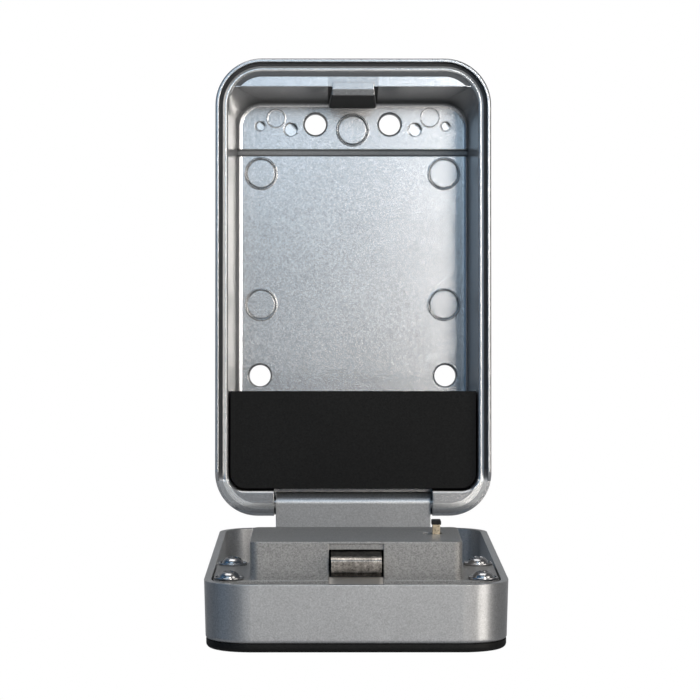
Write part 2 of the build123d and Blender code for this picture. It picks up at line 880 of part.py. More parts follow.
def make_latch_springs():
    """The two springs that push the latch out, as plain sleeves of the coils' size."""
    y = slide_back_y + slide_play + spring_diameter / 2 + 0.2
    springs = []
    for side in (-1, 1):
        x = side * spring_spacing / 2
        top = Plane.XY.offset(riser_low - spring_length)
        face = Circle(spring_diameter / 2) - Circle(spring_diameter / 2 - spring_wire)
        springs.append(extrude(top * Pos(x, y) * face, spring_length))
    return springs


def make_detent_spring():
    """A leaf with one finger under each dial."""
    z = housing_low + housing_wall
    back = roof_y - housing_wall - 0.3
    front = axle_y + 1.0
    half = dial_xs[-1] + dial_width / 2
    leaf = box(-half, half, back - detent_foot, back, z, z + detent_thickness)
    for x in dial_xs:
        wide = detent_finger / 2
        leaf += box(x - wide, x + wide, front, back, z, z + detent_thickness)
    return leaf


def make_reset_lever():
    """The lever that moves the cams aside for a new number. It stands through a slot in the housing."""
    half = lever_width / 2
    tall = lever_length / 2
    top = roof_y + lever_height
    post = box(lever_x - half, lever_x + half, axle_y, top, axle_z - tall, axle_z + tall)
    bore = axle_diameter + 2 * lever_gap
    eye = shaft(bore + 2 * lever_eye, lever_x - half, lever_x + half, axle_y, axle_z)
    lever = post + eye
    return lever - shaft(bore, lever_x - lever_width, lever_x + lever_width, axle_y, axle_z)


def make_lever_cap():
    half = lever_width / 2 + cap_overhang
    tall = lever_length / 2 + cap_overhang
    y = roof_y + lever_height
    cap = box(lever_x - half, lever_x + half, y, y + cap_height, axle_z - tall, axle_z + tall)
    return fillet(cap.edges().group_by(Axis.Y)[-1], cap_height / 3)


def opened(piece):
    """A piece of the door, turned down with it."""
    hinge = Axis((0, pin_y, pin_z), (1, 0, 0))
    return piece.rotate(hinge, open_angle)


def save(name, piece):
    solids = piece if isinstance(piece, list) else [piece]
    flat = [solid for part in solids for solid in part.solids()]
    whole = flat[0] if len(flat) == 1 else Compound(children=flat)
    export_step(whole, os.path.join("parts", name + ".step"))


def main():
    os.makedirs("parts", exist_ok=True)
    save("case", make_case())
    save("hinge_pin", make_hinge_pin())
    save("key_pocket", make_key_pocket())
    door = {
        "door_shell": make_door_shell(),
        "front_plate": make_front_plate(),
        "cover_screws": make_cover_screws(),
        "lock_housing": make_lock_housing(),
        "housing_screws": make_housing_screws(),
        "dial_axle": make_dial_axle(),
        "detent_spring": make_detent_spring(),
        "latch_springs": make_latch_springs(),
        "latch_slide": make_latch_slide(),
        "release_button": make_release_button(),
        "button_screw": make_button_screw(),
        "reset_lever": make_reset_lever(),
        "reset_lever_cap": make_lever_cap(),
    }
    for i, x in enumerate(dial_xs):
        door[f"dial_{i + 1}"] = make_dial(x)
        door[f"cam_{i + 1}"] = make_cam(x)
    for name, piece in door.items():
        pieces = piece if isinstance(piece, list) else [piece]
        save(name, [opened(one) for one in pieces])


main()
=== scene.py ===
import bmesh
import bpy
import json
import math
from mathutils import Matrix, Vector


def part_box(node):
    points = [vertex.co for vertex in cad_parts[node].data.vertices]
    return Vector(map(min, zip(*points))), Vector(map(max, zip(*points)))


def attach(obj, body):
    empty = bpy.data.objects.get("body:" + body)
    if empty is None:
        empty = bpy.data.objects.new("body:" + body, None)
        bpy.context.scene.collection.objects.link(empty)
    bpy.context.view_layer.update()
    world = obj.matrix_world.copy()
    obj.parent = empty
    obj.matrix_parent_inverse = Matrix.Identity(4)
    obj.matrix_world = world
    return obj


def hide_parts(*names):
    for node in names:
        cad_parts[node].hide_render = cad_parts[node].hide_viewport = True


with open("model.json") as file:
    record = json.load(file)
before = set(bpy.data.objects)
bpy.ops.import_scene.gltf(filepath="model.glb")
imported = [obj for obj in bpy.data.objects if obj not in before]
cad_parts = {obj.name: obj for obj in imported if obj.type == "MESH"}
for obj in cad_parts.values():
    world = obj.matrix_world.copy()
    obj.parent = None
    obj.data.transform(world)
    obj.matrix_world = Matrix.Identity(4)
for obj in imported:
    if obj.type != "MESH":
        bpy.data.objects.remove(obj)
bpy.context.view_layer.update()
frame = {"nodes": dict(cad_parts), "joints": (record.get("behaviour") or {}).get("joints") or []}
nodes = frame["nodes"]
caseLow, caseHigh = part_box("case")
caseHalf = (Vector(caseHigh) - Vector(caseLow)) / 2
print("frame loaded with", len(nodes), "CAD nodes")


def findJoint(name):
    return next(joint for joint in frame["joints"] if joint["name"] == name)


# the door is drawn shut and stands open at rest, so its own details are placed on the shut door
# and turned down with it
hinge = findJoint("door_hinge")
hingePoint = Vector(hinge["pos_m"])
openAngle = -math.radians(hinge["range_deg"][0])
doorSwing = Matrix.Rotation(openAngle, 4, "X")
doorTurn = Matrix.Translation(hingePoint) @ doorSwing @ Matrix.Translation(-hingePoint)


# camera, seen level from the front and a little from below the middle

cameraValues = {
    "place": (-0.0050, -0.7470, -0.0278),
    "look": (0.0059, 1.0, 0.0181),
    "lens": 156.3,
    "sensor": 36.0,
    "near": 0.05,
    "far": 20.0,
}


def makeCamera(v):
    data = bpy.data.cameras.new("camera")
    data.lens = v["lens"]
    data.sensor_width = v["sensor"]
    data.clip_start = v["near"]
    data.clip_end = v["far"]
    camera = bpy.data.objects.new("camera", data)
    camera.location = v["place"]
    camera.rotation_mode = "QUATERNION"
    camera.rotation_quaternion = Vector(v["look"]).to_track_quat("-Z", "Y")
    bpy.context.scene.collection.objects.link(camera)
    bpy.context.scene.camera = camera


makeCamera(cameraValues)


# node helpers

def link(tree, output, socket):
    tree.links.new(output, socket)


def setSocket(tree, socket, value):
    # the output of another node is linked, and anything else is set
    if isinstance(value, bpy.types.NodeSocket):
        link(tree, value, socket)
    else:
        socket.default_value = value


def addNode(tree, kind, **values):
    node = tree.nodes.new(kind)
    for key, value in values.items():
        if hasattr(node, key):
            setattr(node, key, value)
        else:
            setSocket(tree, node.inputs[key], value)
    return node


def mathNode(tree, operation, a, b=None, clamp=False):
    node = addNode(tree, "ShaderNodeMath", operation=operation, use_clamp=clamp)
    setSocket(tree, node.inputs[0], a)
    if b is not None:
        setSocket(tree, node.inputs[1], b)
    return node.outputs[0]


def multiply(tree, first, *others):
    result = first
    for value in others:
        result = mathNode(tree, "MULTIPLY", result, value)
    return result


def between(tree, value, low, high):
    # 1 where the value lies between two limits
    above = mathNode(tree, "GREATER_THAN", value, low)
    return multiply(tree, above, mathNode(tree, "LESS_THAN", value, high))


def mapRange(tree, value, low, high, toLow, toHigh, smooth=True):
    node = addNode(tree, "ShaderNodeMapRange", interpolation_type="SMOOTHSTEP" if smooth else "LINEAR")
    labels = ("Value", "From Min", "From Max", "To Min", "To Max")
    for label, number in zip(labels, (value, low, high, toLow, toHigh)):
        setSocket(tree, node.inputs[label], number)
    return node.outputs["Result"]


def mixColour(tree, factor, a, b, blend="MIX"):
    node = addNode(tree, "ShaderNodeMix", data_type="RGBA", blend_type=blend, clamp_result=False)
    for socket, value in ((node.inputs["Factor"], factor), (node.inputs[6], a), (node.inputs[7], b)):
        setSocket(tree, socket, value)
    return node.outputs[2]


def dimmed(tree, colour, value):
    # the colour times a grey value
    grey = tree.nodes.new("ShaderNodeCombineColor")
    for socket in grey.inputs:
        link(tree, value, socket)
    return mixColour(tree, 1.0, colour, grey.outputs["Color"], "MULTIPLY")


def splitVector(tree, vector):
    node = tree.nodes.new("ShaderNodeSeparateXYZ")
    link(tree, vector, node.inputs[0])
    return node.outputs


def splitNormal(tree):
    return splitVector(tree, tree.nodes.new("ShaderNodeNewGeometry").outputs["Normal"])


def rgba(colour):
    return (*colour, 1.0)


# shader groups that several finishes share

def newGroup(name, inputs, outputs):
    # every socket is a number, apart from the vectors
    tree = bpy.data.node_groups.new(name, "ShaderNodeTree")
    for side, labels in (("INPUT", inputs), ("OUTPUT", outputs)):
        for label in labels:
            kind = "NodeSocketVector" if label in ("Vector", "Normal") else "NodeSocketFloat"
            tree.interface.new_socket(label, in_out=side, socket_type=kind)
    return tree, tree.nodes.new("NodeGroupInput"), tree.nodes.new("NodeGroupOutput")


grainValues = {
    "detail": 2.0,
    "noiseRough": 0.65,
    "noiseShare": 1.6,
    "flakeSize": 1.7,
    "flakeShare": 0.5,
    "middle": 1.05,
    "low": 0.3,  # the noise's usual range
    "high": 0.7,
}


def makeGrainGroup(v):
    # small light and dark flakes, with their height
    tree, start, end = newGroup("fineGrain", ["Vector", "Scale", "Contrast"], ["Tone", "Height"])
    vector, scale = start.outputs["Vector"], start.outputs["Scale"]
    noise = addNode(tree, "ShaderNodeTexNoise", Vector=vector, Scale=scale, Detail=v["detail"],
                    Roughness=v["noiseRough"])
    flake = addNode(tree, "ShaderNodeTexVoronoi", Vector=vector, Scale=multiply(tree, scale, v["flakeSize"]))
    shade = addNode(tree, "ShaderNodeSeparateColor", Color=flake.outputs["Color"])
    soft = multiply(tree, noise.outputs["Fac"], v["noiseShare"])
    both = mathNode(tree, "ADD", soft, multiply(tree, shade.outputs["Red"], v["flakeShare"]))
    centred = mathNode(tree, "SUBTRACT", both, v["middle"])
    tone = mathNode(tree, "ADD", multiply(tree, centred, start.outputs["Contrast"]), 1.0)
    link(tree, tone, end.inputs["Tone"])
    link(tree, noise.outputs["Fac"], end.inputs["Height"])
    return tree


mottleValues = {"detail": 3.0, "noiseRough": 0.55}


def makeMottleGroup(v):
    # slow variation over a surface
    tree, start, end = newGroup("softMottle", ["Vector", "Scale", "Low", "High"], ["Value"])
    noise = addNode(tree, "ShaderNodeTexNoise", Vector=start.outputs["Vector"], Scale=start.outputs["Scale"],
                    Detail=v["detail"], Roughness=v["noiseRough"])
    value = mapRange(tree, noise.outputs["Fac"], grainValues["low"], grainValues["high"],
                     start.outputs["Low"], start.outputs["High"])
    link(tree, value, end.inputs["Value"])
    return tree


edgeValues = {"samples": 6, "start": 0.01, "width": 0.2}


def makeEdgeGroup(v):
    # edges rounded in the shading, and where they are
    tree, start, end = newGroup("softEdge", ["Radius", "Width"], ["Mask", "Normal"])
    bevel = addNode(tree, "ShaderNodeBevel", samples=v["samples"], Radius=start.outputs["Radius"])
    geometry = tree.nodes.new("ShaderNodeNewGeometry")
    dot = addNode(tree, "ShaderNodeVectorMath", operation="DOT_PRODUCT")
    link(tree, bevel.outputs["Normal"], dot.inputs[0])
    link(tree, geometry.outputs["Normal"], dot.inputs[1])
    away = mathNode(tree, "SUBTRACT", 1.0, dot.outputs["Value"])
    link(tree, mapRange(tree, away, v["start"], start.outputs["Width"], 0.0, 1.0), end.inputs["Mask"])
    link(tree, bevel.outputs["Normal"], end.inputs["Normal"])
    return tree


hollowValues = {"samples": 12, "reach": 0.0022}


def makeHollowGroup(v):
    # 1 in the open, falling to 0 in grooves, corners and under ledges, where the colour is darkened with
    # painted shade and the coat thinned
    tree, start, end = newGroup("hollowShade", ["Low", "High"], ["Open"])
    near = addNode(tree, "ShaderNodeAmbientOcclusion", samples=v["samples"], only_local=True,
                   Distance=v["reach"])
    clear = mapRange(tree, near.outputs["AO"], start.outputs["Low"], start.outputs["High"], 0.0, 1.0)
    link(tree, clear, end.inputs["Open"])
    return tree


# where a ring lies on the case's back wall, in metres, and how far up its right side the shade reaches
ringValues = {
    "front": -0.006,
    "full": -0.004,
    "back": -0.0012,
    "soft": 0.0003,
    "shadeFrom": 0.25,
    "shadeTo": 0.95,
}


def makeRingGroup(v):
    # a gritty ring round a point on an upright plate, and its disc
    inputs = ["Vector", "Centre X", "Centre Z", "Radius", "Width"]
    tree, start, end = newGroup("castRing", inputs, ["Ring", "Disc", "Crescent"])
    radius = start.outputs["Radius"]
    parts = splitVector(tree, start.outputs["Vector"])
    dx = mathNode(tree, "SUBTRACT", parts["X"], start.outputs["Centre X"])
    dz = mathNode(tree, "SUBTRACT", parts["Z"], start.outputs["Centre Z"])
    squares = mathNode(tree, "ADD", multiply(tree, dx, dx), multiply(tree, dz, dz))
    away = mathNode(tree, "SQRT", squares)
    onWall = multiply(
        tree,
        mapRange(tree, parts["Y"], v["front"], v["full"], 0.0, 1.0),
        mathNode(tree, "LESS_THAN", parts["Y"], v["back"]),
    )
    off = mathNode(tree, "ABSOLUTE", mathNode(tree, "SUBTRACT", away, radius))
    ring = mapRange(tree, off, 0.0, start.outputs["Width"], 1.0, 0.0)
    link(tree, multiply(tree, ring, onWall), end.inputs["Ring"])
    disc = mapRange(tree, mathNode(tree, "SUBTRACT", radius, away), 0.0, v["soft"], 0.0, 1.0)
    disc = multiply(tree, disc, onWall)
    link(tree, disc, end.inputs["Disc"])
    # the upper right side of the disc, which lies in its own wall's shade
    lean = mathNode(tree, "DIVIDE", mathNode(tree, "ADD", dx, dz), radius)
    shaded = mapRange(tree, lean, v["shadeFrom"], v["shadeTo"], 0.0, 1.0)
    link(tree, multiply(tree, shaded, disc), end.inputs["Crescent"])
    return tree


grainGroup = makeGrainGroup(grainValues)
mottleGroup = makeMottleGroup(mottleValues)
edgeGroup = makeEdgeGroup(edgeValues)
hollowGroup = makeHollowGroup(hollowValues)
ringGroup = makeRingGroup(ringValues)


def useGroup(tree, group, **values):
    node = addNode(tree, "ShaderNodeGroup", node_tree=group)
    for key, value in values.items():
        setSocket(tree, node.inputs[key.replace("_", " ")], value)
    return node.outputs


# finishes

def newMaterial(name):
    material = bpy.data.materials.new(name)
    material.use_nodes = True
    tree = material.node_tree
    shader = tree.nodes["Principled BSDF"]
    place = tree.nodes.new("ShaderNodeTexCoord").outputs["Object"]
    return material, tree, shader, place


def makeBase(tree, v, place, grainPlace):
    # the colour with its grain and mottling, the grain's height, and the edges
    grain = useGroup(tree, grainGroup, Vector=grainPlace, Scale=v["grainScale"], Contrast=v["grainContrast"])
    mottle = useGroup(tree, mottleGroup, Vector=place, Scale=v["mottleScale"],
                      Low=v["mottleLow"], High=v["mottleHigh"])
    edge = useGroup(tree, edgeGroup, Radius=v["edgeRadius"], Width=edgeValues["width"])
    tone = multiply(tree, grain["Tone"], mottle["Value"])
    return dimmed(tree, rgba(v["colour"]), tone), grain["Height"], edge


# painted highlight: edges are mixed towards a lighter colour
def rubEdges(tree, v, colour, edge):
    return mixColour(tree, multiply(tree, edge["Mask"], v["edgeHighlightAmount"]), colour, rgba(v["edgeHighlightColour"]))


def grainRough(tree, v, height):
    return mapRange(tree, height, grainValues["low"], grainValues["high"], v["roughLow"], v["roughHigh"])


def pressBumps(tree, v, normal, bumps):
    for height, strength in bumps:
        bump = addNode(tree, "ShaderNodeBump", Strength=strength, Distance=v["bumpDepth"], Height=height,
                       Normal=normal)
        normal = bump.outputs["Normal"]
    return normal


def makePaint(name, v):
    # metal flake lacquer: fine grain, soft mottling, edges lightened as a painted highlight and an orange
    # peel
    material, tree, shader, place = newMaterial(name)
    colour, height, edge = makeBase(tree, v, place, place)
    colour = rubEdges(tree, v, colour, edge)
    # painted shade: the colour darkens in grooves, corners and under ledges
    hollow = useGroup(tree, hollowGroup, Low=v["hollowLow"], High=v["hollowHigh"])
    shade = mapRange(tree, hollow["Open"], 0.0, 1.0, v["hollowShadeDark"], 1.0, smooth=False)
    colour = dimmed(tree, colour, shade)
    # the extras change the colour, and add what presses into the paint and what takes its shine
    marks = {"bumps": [(height, v["bump"])], "dull": []}
    for extra in v["extras"]:
        colour = extra(tree, place, colour, marks)
    coat = multiply(tree, hollow["Open"], v["coat"])
    rough = grainRough(tree, v, height)
    metal = v["metallic"]
    if marks["dull"]:
        clear = [mathNode(tree, "SUBTRACT", 1.0, dull, clamp=True) for dull in marks["dull"]]
        glossy = multiply(tree, *clear)
        coat = multiply(tree, coat, glossy)
        rough = mapRange(tree, glossy, 0.0, 1.0, v["dullRough"], rough, smooth=False)
        metal = mapRange(tree, glossy, 0.0, 1.0, v["dullMetal"], metal, smooth=False)
    setSocket(tree, shader.inputs["Metallic"], metal)
    shader.inputs["Coat Roughness"].default_value = v["coatRough"]
    link(tree, colour, shader.inputs["Base Color"])
    link(tree, coat, shader.inputs["Coat Weight"])
    link(tree, rough, shader.inputs["Roughness"])
    link(tree, pressBumps(tree, v, edge["Normal"], marks["bumps"]), shader.inputs["Normal"])
    return material


def makePlastic(name, v):
    # moulded plastic: fine spark texture and a faint sheen change
    material, tree, shader, place = newMaterial(name)
    colour, height, edge = makeBase(tree, v, place, place)
    shader.inputs["Specular IOR Level"].default_value = v["specular"]
    link(tree, colour, shader.inputs["Base Color"])
    link(tree, grainRough(tree, v, height), shader.inputs["Roughness"])
    link(tree, pressBumps(tree, v, edge["Normal"], [(height, v["bump"])]), shader.inputs["Normal"])
    return material


def makeSteel(name, v):
    # bare or plated metal with fine turning lines along one axis and small stains
    material, tree, shader, place = newMaterial(name)
    stretched = addNode(tree, "ShaderNodeMapping", Vector=place, Scale=v["stretch"]).outputs["Vector"]
    colour, height, edge = makeBase(tree, v, place, stretched)
    colour = rubEdges(tree, v, colour, edge)
    for extra in v["extras"]:
        colour = extra(tree, place, colour)
    shader.inputs["Metallic"].default_value = 1.0
    link(tree, colour, shader.inputs["Base Color"])
    link(tree, grainRough(tree, v, height), shader.inputs["Roughness"])
    link(tree, pressBumps(tree, v, edge["Normal"], [(height, v["bump"])]), shader.inputs["Normal"])
    return material


# cast marks on the case's back wall, in metres: x, z, radius, width and strength of each ring
castMarks = [
    (-0.0224, 0.0289, 0.0037, 0.00040, 0.55),
    (0.0224, 0.0289, 0.0037, 0.00035, 0.35),
    (-0.0224, -0.0032, 0.0037, 0.00035, 0.35),
    (0.0224, -0.0032, 0.0037, 0.00035, 0.40),
    (0.0, 0.0396, 0.0037, 0.00040, 0.65),
    (-0.0187, 0.0424, 0.0022, 0.00025, 0.30),
    (0.0190, 0.0426, 0.0023, 0.00025, 0.35),
]


# the four blind dimples near the top: x, z and radius
dimples = [
    (-0.0224, 0.0407, 0.00118),
    (-0.0149, 0.0398, 0.00168),
    (0.0155, 0.0398, 0.00168),
    (0.0230, 0.0406, 0.00116),
]


gritValues = {
    "speckleScale": 1300.0,
    "speckleDetail": 3.0,
    "speckleRough": 0.7,
    "patchScale": 420.0,
    "patchDetail": 2.0,
    "from": 0.50,
    "darkTo": 0.60,
    "brightTo": 0.62,
    "lift": 0.5,
    "height": 2.2,
    "dimpleWidth": 0.0003,
    "dimpleHighlight": 0.75,
    "dimpleShadow": 0.92,
    "dark": (0.05, 0.05, 0.05, 1),
    "bright": (0.93, 0.94, 0.95, 1),
}


def castGrit(tree, place, colour, marks):
    # broken flash round each mark, with its shade and glints painted as dark and bright flecks, and dimples
    # with a painted highlight inside and a painted shadow on one side
    v = gritValues
    speckle = addNode(tree, "ShaderNodeTexNoise", Vector=place, Scale=v["speckleScale"],
                      Detail=v["speckleDetail"], Roughness=v["speckleRough"])
    patch = addNode(tree, "ShaderNodeTexNoise", Vector=place, Scale=v["patchScale"], Detail=v["patchDetail"])
    dark = mapRange(tree, speckle.outputs["Fac"], v["from"], v["darkTo"], 0.0, 1.0)
    bright = mapRange(tree, patch.outputs["Fac"], v["from"], v["brightTo"], 0.0, 1.0)
    lifted = mathNode(tree, "ADD", patch.outputs["Fac"], v["lift"])
    total = 0.0
    # the rings are real flash, with their shade and glints painted as dark and bright flecks
    for x, z, radius, width, strength in castMarks:
        ring = useGroup(tree, ringGroup, Vector=place, Centre_X=x, Centre_Z=z, Radius=radius, Width=width)
        line = multiply(tree, ring["Ring"], strength)
        colour = mixColour(tree, multiply(tree, line, dark), colour, v["dark"])
        colour = mixColour(tree, multiply(tree, line, bright), colour, v["bright"])
        total = mathNode(tree, "ADD", total, multiply(tree, line, lifted))
    # painted highlight on each dimple's floor and painted shadow on its upper right side
    for x, z, radius in dimples:
        spot = useGroup(tree, ringGroup, Vector=place, Centre_X=x, Centre_Z=z, Radius=radius,
                        Width=v["dimpleWidth"])
        colour = mixColour(tree, multiply(tree, spot["Disc"], v["dimpleHighlight"]), colour, v["bright"])
        edge = mathNode(tree, "MAXIMUM", spot["Crescent"], multiply(tree, spot["Ring"], dark))
        colour = mixColour(tree, multiply(tree, edge, v["dimpleShadow"]), colour, v["dark"])
    marks["bumps"].append((multiply(tree, total, v["height"]), 1.0))
    return colour


# the cast channel across the back wall, darkened inside with painted shade and dulled: heights, depths and
# half length in metres
channelValues = {
    "low": 0.0328,
    "high": 0.0353,
    "front": -0.00296,
    "back": -0.0015,
    "reach": 0.0284,
    "amount": 0.55,
    "dull": 0.7,
    "colour": (0.10, 0.102, 0.105, 1),
}


def channelShade(tree, place, colour, marks):
    v = channelValues
    parts = splitVector(tree, place)
    inside = multiply(
        tree,
        between(tree, parts["Y"], v["front"], v["back"]),
        between(tree, parts["Z"], v["low"], v["high"]),
        between(tree, parts["X"], -v["reach"], v["reach"]),
    )
    # painted shade: the channel's inside is mixed towards dark grey
    marks["dull"].append(multiply(tree, inside, v["dull"]))
    return mixColour(tree, multiply(tree, inside, v["amount"]), colour, v["colour"])


# the strike's front, darkened with painted shade, and its underside, darkened with pitted noise where it
# faces down: half width, heights and depths in metres
strikeValues = {
    "half": 0.0060,
    "low": 0.0440,
    "high": 0.0498,
    "front": -0.0322,
    "back": -0.0035,
    "foreFull": -0.95,  # how far the surface faces the front
    "foreNone": -0.60,
    "foreAmount": 0.28,
    "foreShadeColour": (0.060, 0.057, 0.054, 1),
    "underFull": -0.75,  # how far it faces down
    "underNone": -0.25,
    "underColour": (0.030, 0.030, 0.030, 1),
    "pitScale": 2600.0,
    "pitDetail": 3.0,
    "pitRough": 0.8,
    "pitLow": 0.36,
    "pitHigh": 0.50,
    "coverLow": 0.80,
    "coverHigh": 0.97,
}


def strikeShade(tree, place, colour, marks):
    v = strikeValues
    parts = splitVector(tree, place)
    facing = splitNormal(tree)
    strike = multiply(
        tree,
        between(tree, parts["X"], -v["half"], v["half"]),
        between(tree, parts["Z"], v["low"], v["high"]),
        between(tree, parts["Y"], v["front"], v["back"]),
    )
    # painted shade on the strike's front face
    fore = mapRange(tree, facing["Y"], v["foreFull"], v["foreNone"], v["foreAmount"], 0.0)
    colour = mixColour(tree, multiply(tree, strike, fore), colour, v["foreShadeColour"])
    under = mapRange(tree, facing["Z"], v["underFull"], v["underNone"], 1.0, 0.0)
    under = multiply(tree, strike, under)
    pits = addNode(tree, "ShaderNodeTexNoise", Vector=place, Scale=v["pitScale"], Detail=v["pitDetail"],
                   Roughness=v["pitRough"])
    cover = mapRange(tree, pits.outputs["Fac"], v["pitLow"], v["pitHigh"], v["coverLow"], v["coverHigh"])
    marks["dull"].append(under)
    return mixColour(tree, multiply(tree, under, cover), colour, v["underColour"])


# the ceiling of the cavity, darkened and dulled with painted shade, more so towards the back
ceilingValues = {
    "low": 0.0440,
    "high": 0.0498,
    "end": -0.0029,
    "full": -0.9,
    "none": -0.3,
    "amount": 0.62,
    "front": -0.0315,
    "frontShare": 0.75,
    "back": -0.0040,
    "backShare": 1.35,
    "dull": 0.8,
    "colour": (0.05, 0.052, 0.052, 1),
}


def ceilingShade(tree, place, colour, marks):
    v = ceilingValues
    parts = splitVector(tree, place)
    # painted shade on the cavity's ceiling, deeper towards the back
    ceiling = multiply(
        tree,
        mapRange(tree, splitNormal(tree)["Z"], v["full"], v["none"], v["amount"], 0.0),
        between(tree, parts["Z"], v["low"], v["high"]),
        mathNode(tree, "LESS_THAN", parts["Y"], v["end"]),
    )
    deep = mapRange(tree, parts["Y"], v["front"], v["back"], v["frontShare"], v["backShare"])
    ceiling = mathNode(tree, "MULTIPLY", ceiling, deep, clamp=True)
    marks["dull"].append(multiply(tree, ceiling, v["dull"]))
    return mixColour(tree, ceiling, colour, v["colour"])


# the rim's grooves, darkened with painted shade and dulled, and its bead, lightened with a painted highlight:
# distances in from the outline, and depths, in metres
rimValues = {
    "topCorner": 0.011,
    "lowCorner": 0.01,
    "lip": 0.0007,
    "bead": 0.0017,
    "beadEnd": 0.0030,
    "moatEnd": 0.0042,
    "moatLow": 0.0476,
    "top": -0.0312,
    "floor": -0.0303,
    "bottom": -0.0288,
    "dark": 0.80,
    "dull": 0.8,
    "footLow": -0.0475,
    "footHigh": -0.0420,
    "footDark": 0.35,
    "beadHighlight": 0.75,
    "beadHighlightColour": (0.95, 0.95, 0.94, 1),
    "paintedShadeColour": (0.05, 0.052, 0.056, 1),
}


# the cavity's side walls, darkened with painted shade and dulled: distance in from the outline, and depths
wallValues = {
    "start": 0.0029,
    "front": -0.0308,
    "back": -0.0034,
    "none": 0.5,  # how far the surface faces sideways
    "full": 0.9,
    "amount": 0.62,
    "dull": 0.6,
}


def outlineDistance(tree, parts):
    # how far a point lies inside the case's rounded outline
    upper = mathNode(tree, "GREATER_THAN", parts["Z"], 0.0)
    corner = mapRange(tree, upper, 0.0, 1.0, rimValues["lowCorner"], rimValues["topCorner"], smooth=False)
    squares = []
    for axis, half in (("X", caseHalf.x), ("Z", caseHalf.z)):
        away = mathNode(tree, "SUBTRACT", mathNode(tree, "ABSOLUTE", parts[axis]), half)
        over = mathNode(tree, "MAXIMUM", mathNode(tree, "ADD", away, corner), 0.0)
        squares.append(multiply(tree, over, over))
    outside = mathNode(tree, "SQRT", mathNode(tree, "ADD", *squares))
    return mathNode(tree, "SUBTRACT", corner, outside)


def rimShade(tree, place, colour, marks):
    v = rimValues
    parts = splitVector(tree, place)
    inward = outlineDistance(tree, parts)
    atRim = mathNode(tree, "LESS_THAN", parts["Y"], v["bottom"])
    groove = between(tree, inward, v["lip"], v["bead"])
    moat = multiply(
        tree,
        between(tree, inward, v["beadEnd"], v["moatEnd"]),
        mathNode(tree, "GREATER_THAN", parts["Z"], v["moatLow"]),
    )
    deep = mapRange(tree, parts["Y"], v["top"], v["floor"], 0.0, 1.0)
    both = multiply(tree, mathNode(tree, "MAXIMUM", groove, moat), deep, atRim)
    # painted shade in the rim's grooves
    colour = mixColour(tree, multiply(tree, both, v["dark"]), colour, v["paintedShadeColour"])
    marks["dull"].append(multiply(tree, both, v["dull"]))
    w = wallValues
    # painted shade on the cavity's side walls
    sideways = mathNode(tree, "ABSOLUTE", splitNormal(tree)["X"])
    wall = multiply(
        tree,
        mapRange(tree, sideways, w["none"], w["full"], 0.0, w["amount"]),
        mathNode(tree, "GREATER_THAN", inward, w["start"]),
        between(tree, parts["Y"], w["front"], w["back"]),
    )
    colour = mixColour(tree, wall, colour, v["paintedShadeColour"])
    marks["dull"].append(multiply(tree, wall, w["dull"]))
    # the lower end of the rim faces down a little and is darkened there with painted shade
    foot = mapRange(tree, parts["Z"], v["footLow"], v["footHigh"], v["footDark"], 0.0)
    colour = mixColour(tree, multiply(tree, foot, atRim), colour, v["paintedShadeColour"])
    # painted highlight on the bead
    bead = between(tree, inward, v["bead"], v["beadEnd"])
    front = mathNode(tree, "LESS_THAN", parts["Y"], v["floor"])
    return mixColour(tree, multiply(tree, bead, front, v["beadHighlight"]), colour, v["beadHighlightColour"])


caseFinish = {
    "colour": (0.555, 0.562, 0.575),
    "metallic": 0.80,
    "grainScale": 2800.0,
    "grainContrast": 0.48,
    "mottleScale": 45.0,
    "mottleLow": 0.96,
    "mottleHigh": 1.04,
    "roughLow": 0.235,
    "roughHigh": 0.26,
    "coat": 0.7,
    "coatRough": 0.10,
    "bump": 0.12,
    "bumpDepth": 0.00006,
    "edgeRadius": 0.00028,
    "edgeHighlightAmount": 0.35,
    "edgeHighlightColour": (0.80, 0.81, 0.82),
    "hollowLow": 0.08,
    "hollowHigh": 0.62,
    "hollowShadeDark": 0.16,
    "dullRough": 0.8,
    "dullMetal": 0.1,
    "extras": (castGrit, channelShade, strikeShade, ceilingShade, rimShade),
}
doorFinish = dict(
    caseFinish,
    colour=(0.49, 0.493, 0.50),
    grainContrast=0.40,
    mottleScale=60.0,
    roughLow=0.34,
    roughHigh=0.37,
    coat=0.35,
    bump=0.18,
    extras=(),
)


# the strip of the housing under the latch, lightened with a painted highlight where its lip catches the
# light: half width and heights in metres
mouthHighlightValues = {"half": 0.0056, "low": -0.0652, "high": -0.0634, "amount": 0.9, "colour": (0.60, 0.55, 0.50)}


def mouthWear(tree, place, colour, marks):
    # painted highlight on the strip under the latch
    v = mouthHighlightValues
    parts = splitVector(tree, place)
    stripHighlight = multiply(
        tree,
        between(tree, parts["X"], -v["half"], v["half"]),
        between(tree, parts["Z"], v["low"], v["high"]),
        v["amount"],
    )
    return mixColour(tree, stripHighlight, colour, rgba(v["colour"]))


